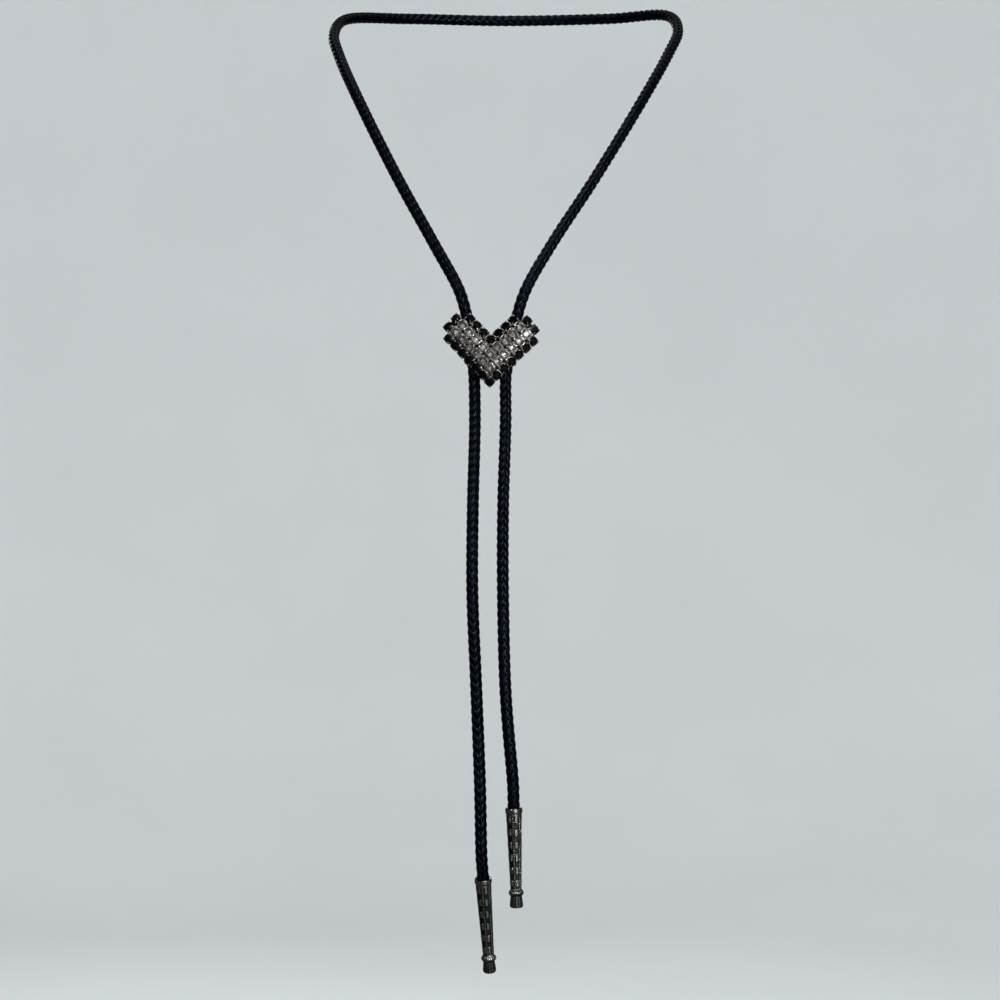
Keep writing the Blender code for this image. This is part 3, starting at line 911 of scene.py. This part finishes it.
def make_setting():
    cells = [cell for group in stone_cells() for cell in group]
    bm = bmesh.new()
    # A layer of painted shade, by depth between the stones
    painted_shade_layer = bm.verts.layers.float.new("patina_and_painted_shade")
    for cell in cells:
        add_cup(bm, stone_matrix(*cell), painted_shade_layer)
    add_web(bm, cells, painted_shade_layer)
    bmesh.ops.recalc_face_normals(bm, faces=bm.faces)
    mesh = mesh_from(bm, "claw_setting")
    mesh.set_sharp_from_angle(angle=math.radians(50))
    setting = new_piece("claw_setting", mesh, silver_material())
    dress(setting, "silver", "heart_setting")


# Clasp


def add_channel(bm, side):
    """A tube with rounded lips on a channel's axis."""
    middle = channel_radius() - CHANNEL_WALL / 2
    lip = CHANNEL_WALL / 2
    straight = CHANNEL_LENGTH / 2 - lip
    rings = []
    for end in (1, -1):
        for step in range(LIP_STEPS + 1):
            angle = math.pi * step / LIP_STEPS
            radius = middle + end * lip * math.cos(angle)
            rings.append(circle(bm, radius, end * (straight + lip * math.sin(angle)), CHANNEL_SIDES))
    join_rings(bm, rings)
    bridge(bm, rings[-1], rings[0])
    turn = Matrix.Rotation(side * CHANNEL_SPLAY, 4, "Y")
    matrix = slide_matrix() @ Matrix.Translation(channel_point(side, 0)) @ turn
    bmesh.ops.transform(bm, matrix=matrix, verts=[vert for ring in rings for vert in ring])


def add_block(bm, size, middle, edge):
    """A box with rounded edges."""
    matrix = Matrix.Translation(middle) @ Matrix.Diagonal((*size, 1))
    made = bmesh.ops.create_cube(bm, size=1, matrix=matrix)
    edges = list({e for vert in made["verts"] for e in vert.link_edges})
    rounded = bmesh.ops.bevel(bm, geom=edges, offset=edge, segments=3, profile=0.5, affect="EDGES")
    return {vert for face in rounded["faces"] for vert in face.verts}


def make_clasp():
    """Two channels, a bar soldered across their fronts, and a pad between the bar and the setting."""
    bm = bmesh.new()
    front = -channel_radius()
    bar_size = (CHANNEL_SPACING, BAR_THICKNESS, BAR_HEIGHT)
    bar = add_block(bm, bar_size, Vector((0, front, 0)), CLASP_EDGE)
    pad_size = (PAD_WIDTH, PAD_THICKNESS + BAR_THICKNESS, PAD_HEIGHT)
    pad_height = PAD_ABOVE_LOWEST_STONE - LOWEST_STONE_DROP
    pad = add_block(bm, pad_size, Vector((0, front - PAD_THICKNESS / 2, pad_height)), CLASP_EDGE)
    bmesh.ops.transform(bm, matrix=slide_matrix(), verts=list(bar | pad))
    for side in (-1, 1):
        add_channel(bm, side)
    bmesh.ops.recalc_face_normals(bm, faces=bm.faces)
    mesh = mesh_from(bm, "clasp")
    mesh.set_sharp_from_angle(angle=math.radians(50))
    clasp = new_piece("clasp", mesh, clasp_material())
    dress(clasp, "silver", "slide_clasp")


# Tips


def tip_mouth_width():
    return CORD_DIAMETER + 2 * SOCKET_GAP + 2 * TIP_WALL


def tip_outline():
    """Shares of a tip's length with the width there, as on the solid."""
    mouth = tip_mouth_width()
    shoulder = TIP_SHOULDER_SHARE * mouth
    above_ring, below_ring = TIP_RING_WAISTS
    rows = [(share, width * mouth) for share, width in TIP_COLLAR]
    rows += [(TIP_SHOULDER, shoulder), (TIP_RUNGS_FROM, shoulder)]
    rows += [(TIP_RUNGS_TO, TIP_WAIST_WIDTH), (above_ring, TIP_WAIST_WIDTH)]
    rows += [(share, width * TIP_RING_WIDTH) for share, width in TIP_RING]
    rows.append((below_ring, TIP_WAIST_WIDTH))
    rows += [(share, width * TIP_END_WIDTH) for share, width in TIP_FLARE]
    return rows


def outline_radius(rows, share):
    """Half of the width between two rows of an outline."""
    for (start, width), (end, next_width) in zip(rows, rows[1:]):
        if share <= end:
            t = (share - start) / (end - start)
            return (width + (next_width - width) * t) / 2
    return rows[-1][1] / 2


def tip_relief(share, angle, radius):
    """How deep the surface lies under the outline at a place, from the cast pattern."""
    if share < TIP_SHOULDER:
        return -COLLAR_SWELL * math.sin(math.pi * share / TIP_SHOULDER)
    column = 2 * math.pi / TIP_COLUMNS
    off_column = abs((angle + column / 2) % column - column / 2) * radius
    off_ridge = abs(angle % column - column / 2) * radius
    if TIP_RUNGS_FROM <= share <= TIP_RING_WAISTS[0]:
        pitch = (TIP_RUNGS_TO - TIP_RUNGS_FROM) / (TIP_RUNGS - 1 + TIP_RUNG_SHARE)
        along = ((share - TIP_RUNGS_FROM) / pitch) % 1.0
        slope = RELIEF_SLOPE / (pitch * TIP_LENGTH)
        on_rung = smoothstep(0, slope, along) * (1 - smoothstep(RUNG_SHARE - slope, RUNG_SHARE, along))
        in_column = 1 - smoothstep(RUNG_WIDTH / 2 - RELIEF_SLOPE, RUNG_WIDTH / 2, off_column)
        ridge_top, ridge_foot = (RIDGE_WIDTH - RELIEF_SLOPE) / 2, (RIDGE_WIDTH + RELIEF_SLOPE) / 2
        on_ridge = 1 - smoothstep(ridge_top, ridge_foot, off_ridge)
        depth = NOTCH_DEPTH * in_column + GROOVE_DEPTH * (1 - in_column)
        raised = max(on_rung * in_column, on_ridge)
        fade = smoothstep(TIP_RUNGS_FROM, TIP_RUNGS_FROM + RELIEF_FADE, share)
        fade *= 1 - smoothstep(TIP_RUNGS_TO, TIP_RING_WAISTS[0], share)
        return depth * (1 - raised) * fade
    if TIP_RING_WAISTS[0] < share < TIP_RING_WAISTS[1]:
        bead = abs(math.sin(angle * BEADS / 2))
        return BEAD_DEPTH * (1 - math.sqrt(bead))
    if share >= TIP_RING_WAISTS[1] + RELIEF_FADE:
        flute = abs(math.sin(angle * FLUTES / 2))
        fade = 1 - smoothstep(*FLUTE_FADE, share)
        return FLUTE_DEPTH * (1 - math.sqrt(flute)) * fade
    return 0.0


def tip_patina_and_shade(share, relief):
    """How dark a place is painted: patina in the hollows, painted shade at the mouth's rim, and darker on the
    flared end.
    """
    rim = 1 - smoothstep(0.0, TIP_RIM, share)
    flare = smoothstep(*TIP_RING_WAISTS, share)
    # Patina in the hollows, painted shade on the rim, and the flared end darker.
    return max(relief / NOTCH_DEPTH, RIM_PAINTED_SHADE * rim) + FLARE_DARKENING * flare


def tip_mesh():
    """A cast tip hanging down from its mouth at the origin, with a blind socket for the cord."""
    bm = bmesh.new()
    # Patina in the hollows and painted shade at the rim go into this layer.
    patina_and_shade_layer = bm.verts.layers.float.new("patina_and_painted_shade")
    socket = CORD_DIAMETER / 2 + SOCKET_GAP
    mouth = ((socket, -SOCKET_DEPTH), (socket, -MOUTH_CHAMFER), (socket + MOUTH_CHAMFER, 0.0))
    rings = [circle(bm, radius, height, TIP_SIDES) for radius, height in mouth]
    for ring in rings:
        for vert in ring:
            vert[patina_and_shade_layer] = SOCKET_TARNISH
    rows = tip_outline()
    for share in [number / TIP_ROWS for number in range(TIP_ROWS + 1)]:
        outline = outline_radius(rows, share)
        ring = []
        for angle in angles_round(TIP_SIDES):
            relief = tip_relief(share, angle, outline)
            radius = outline - relief
            place = (radius * math.cos(angle), radius * math.sin(angle), -TIP_LENGTH * share)
            vert = bm.verts.new(place)
            vert[patina_and_shade_layer] = tip_patina_and_shade(share, relief)
            ring.append(vert)
        rings.append(ring)
    join_rings(bm, rings)
    fill_ends(bm, rings)
    bmesh.ops.recalc_face_normals(bm, faces=bm.faces)
    mesh = mesh_from(bm, "cast_tip")
    mesh.set_sharp_from_angle(angle=math.radians(60))
    return mesh


def tip_matrix(mouth, down):
    """Puts a column of rungs a little to the right of the front."""
    z_axis = -down
    facing = Matrix.Rotation(TIP_ROLL, 3, z_axis) @ FRONT
    x_axis = (facing - z_axis * facing.dot(z_axis)).normalized()
    return frame_matrix(mouth, x_axis, z_axis.cross(x_axis), z_axis)


def make_tips():
    mesh = tip_mesh()
    places = (
        ("left_tip", LEFT_TIP_MOUTH, LEFT_TIP_DOWN),
        ("right_tip", RIGHT_TIP_MOUTH, RIGHT_TIP_DOWN),
    )
    tips = []
    for node, mouth, down in places:
        tip = new_piece(f"cast_{node}", mesh, cast_material())
        tip.matrix_world = tip_matrix(mouth, down)
        dress(tip, "antique_silver", node)
        tips.append(tip)
    return tips


# Materials


class Shading(Nodes):
    """A material's nodes, with short calls for what the finishes below share."""

    def __init__(self, name):
        self.material = bpy.data.materials.new(name)
        self.material.use_nodes = True
        super().__init__(self.material.node_tree)
        self.shader = self.tree.nodes["Principled BSDF"]

    def set(self, **values):
        """Sets sockets of the shader by their names in lower case with underscores."""
        for name, value in values.items():
            socket = name.replace("_", " ").title().replace("Ior", "IOR")
            self.shader.inputs[socket].default_value = value

    def drive(self, name, source):
        self.link(source, self.shader.inputs[name])

    def noise(self, scale, detail=3.0):
        """Noise in object space; scale is the number of cells in a metre."""
        noise = self.add("ShaderNodeTexNoise")
        noise.inputs["Scale"].default_value = scale
        noise.inputs["Detail"].default_value = detail
        self.link(self.add("ShaderNodeTexCoord").outputs["Object"], noise.inputs["Vector"])
        return noise.outputs["Fac"]

    def attribute(self, name):
        return self.add("ShaderNodeAttribute", attribute_name=name).outputs["Fac"]

    def multiply(self, first, second):
        mix = self.add("ShaderNodeMix", data_type="RGBA", blend_type="MULTIPLY")
        mix.inputs["Factor"].default_value = 1.0
        self.link(first, mix.inputs["A"])
        self.link(second, mix.inputs["B"])
        return mix.outputs["Result"]

    def bump(self, height, strength, distance):
        bump = self.add("ShaderNodeBump")
        bump.inputs["Strength"].default_value = strength
        bump.inputs["Distance"].default_value = distance
        self.link(height, bump.inputs["Height"])
        self.drive("Normal", bump.outputs["Normal"])


def studio_material():
    shading = Shading("studio_sweep")
    tone = shading.ramp(shading.noise(3), (0.3, (0.80, 0.82, 0.83)), (0.7, (0.83, 0.85, 0.86)))
    shading.drive("Base Color", tone)
    shading.set(roughness=0.9, specular_ior_level=0.1)
    return shading.material


def leather_material():
    """Dark blue-black leather laces, worn paler on the crowns, with painted shade that makes them nearly
    black in the braid's valleys and where strands pass under.
    """
    shading = Shading("braided_leather")
    dyes = (0.38, (0.0003, 0.0006, 0.0028)), (0.62, (0.0022, 0.0032, 0.0085))
    tone = shading.ramp(shading.noise(240, 2), *dyes)
    # Painted shade: the colour falls to a few hundredths of the dye in the valleys and under the crossings.
    crown = shading.ramp(shading.attribute("crown"), (0.0, 0.03), (0.55, 0.35), (1.0, 1.0))
    shading.drive("Base Color", shading.multiply(tone, crown))
    shading.drive("Roughness", shading.ramp(shading.noise(700, 3), (0.35, 0.20), (0.65, 0.38)))
    shading.set(specular_ior_level=0.26, specular_tint=(0.58, 0.70, 1.0, 1))
    shading.bump(shading.noise(1400, 5), 0.35, 0.06 * MM)
    return shading.material


def metal(name, pale, dark, roughness, darkening_range=(0.1, 0.6), mottle=0.35, metallic=1.0, grain=900):
    """Silver-tone metal painted dark where its darkening attribute is high:
    patina on the cast tips, with painted shade on their rims, and painted shade in the setting.

    The darkening sets in over a range of the attribute given as a pair, mottle is how far it wavers, and
    grain the number of fine scratches in a metre.
    """
    shading = Shading(name)
    # Painted darkening: patina on the tips, painted shade on their rims and in the setting.
    darkening = shading.math("MULTIPLY_ADD", shading.noise(grain / 3, 4), mottle, shading.attribute("patina_and_painted_shade"))
    pale_to, dark_from = (edge + mottle / 2 for edge in darkening_range)
    shading.drive("Base Color", shading.ramp(darkening, (pale_to, pale), (dark_from, dark)))
    scratches = shading.noise(grain, 6)
    smooth, rough = roughness
    shading.drive("Roughness", shading.ramp(scratches, (0.3, smooth), (0.7, rough)))
    shading.set(metallic=metallic)
    shading.bump(scratches, 0.08, 0.03 * MM)
    return shading.material


def silver_material():
    # In the setting the dark colour is painted shade, nearly black deep between the stones.
    return metal("silver", (0.70, 0.69, 0.67), (0.06, 0.06, 0.06), (0.10, 0.24), darkening_range=(0.25, 0.8))


def clasp_material():
    return metal("clasp_silver", (0.80, 0.79, 0.77), (0.30, 0.30, 0.29), (0.16, 0.32))


def cast_material():
    return metal(
        "antique_silver",
        pale=(0.45, 0.44, 0.425),
        dark=(0.07, 0.068, 0.066),
        roughness=(0.19, 0.28),
        darkening_range=(0.10, 0.62),
        mottle=0.12,
        metallic=0.96,
        grain=1500,
    )


def jet_material():
    shading = Shading("jet_glass")
    tone = shading.ramp(shading.noise(500), (0.3, 0.0008), (0.7, (0.002, 0.002, 0.003)))
    shading.drive("Base Color", tone)
    shading.drive("Roughness", shading.ramp(shading.noise(2500), (0.4, 0.02), (0.7, 0.07)))
    shading.set(specular_ior_level=0.5)
    return shading.material


def crystal_material():
    """Clear glass with a faint rosy cast in places."""
    shading = Shading("crystal")
    tone = shading.ramp(shading.noise(320, 1), (0.35, (1.0, 1.0, 1.0)), (0.65, (0.98, 0.93, 0.95)))
    shading.drive("Base Color", tone)
    shading.drive("Roughness", shading.ramp(shading.noise(2500), (0.4, 0.0), (0.7, 0.04)))
    shading.set(transmission_weight=1.0, ior=1.54)
    return shading.material


def foil(name, scale, detail, dull, bright, roughness):
    """Silver foil behind the clear stones; dull and bright are positions and colours of its ramp."""
    shading = Shading(name)
    shading.drive("Base Color", shading.ramp(shading.noise(scale, detail), dull, bright))
    smooth, rough = roughness
    shading.drive("Roughness", shading.ramp(shading.noise(1800), (0.3, smooth), (0.7, rough)))
    shading.set(metallic=1.0)
    return shading.material


def foil_material():
    """Foil that has gone dull and brownish in places."""
    dull, bright = (0.38, (0.26, 0.22, 0.20)), (0.60, (0.74, 0.74, 0.72))
    return foil("foil_back", 260, 3, dull, bright, (0.08, 0.22))


def culet_material():
    """The foil on the flat end of the pavilion, which has stayed bright."""
    dull, bright = (0.35, (0.86, 0.84, 0.83)), (0.62, (0.98, 0.97, 0.96))
    return foil("bright_foil", 600, 2, dull, bright, (0.20, 0.38))


def main():
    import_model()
    add_camera()
    cord, path = make_cord()
    tips = make_tips()
    make_setting()
    make_stones()
    make_clasp()
    add_sweep()
    add_lights()
    add_world()


main()
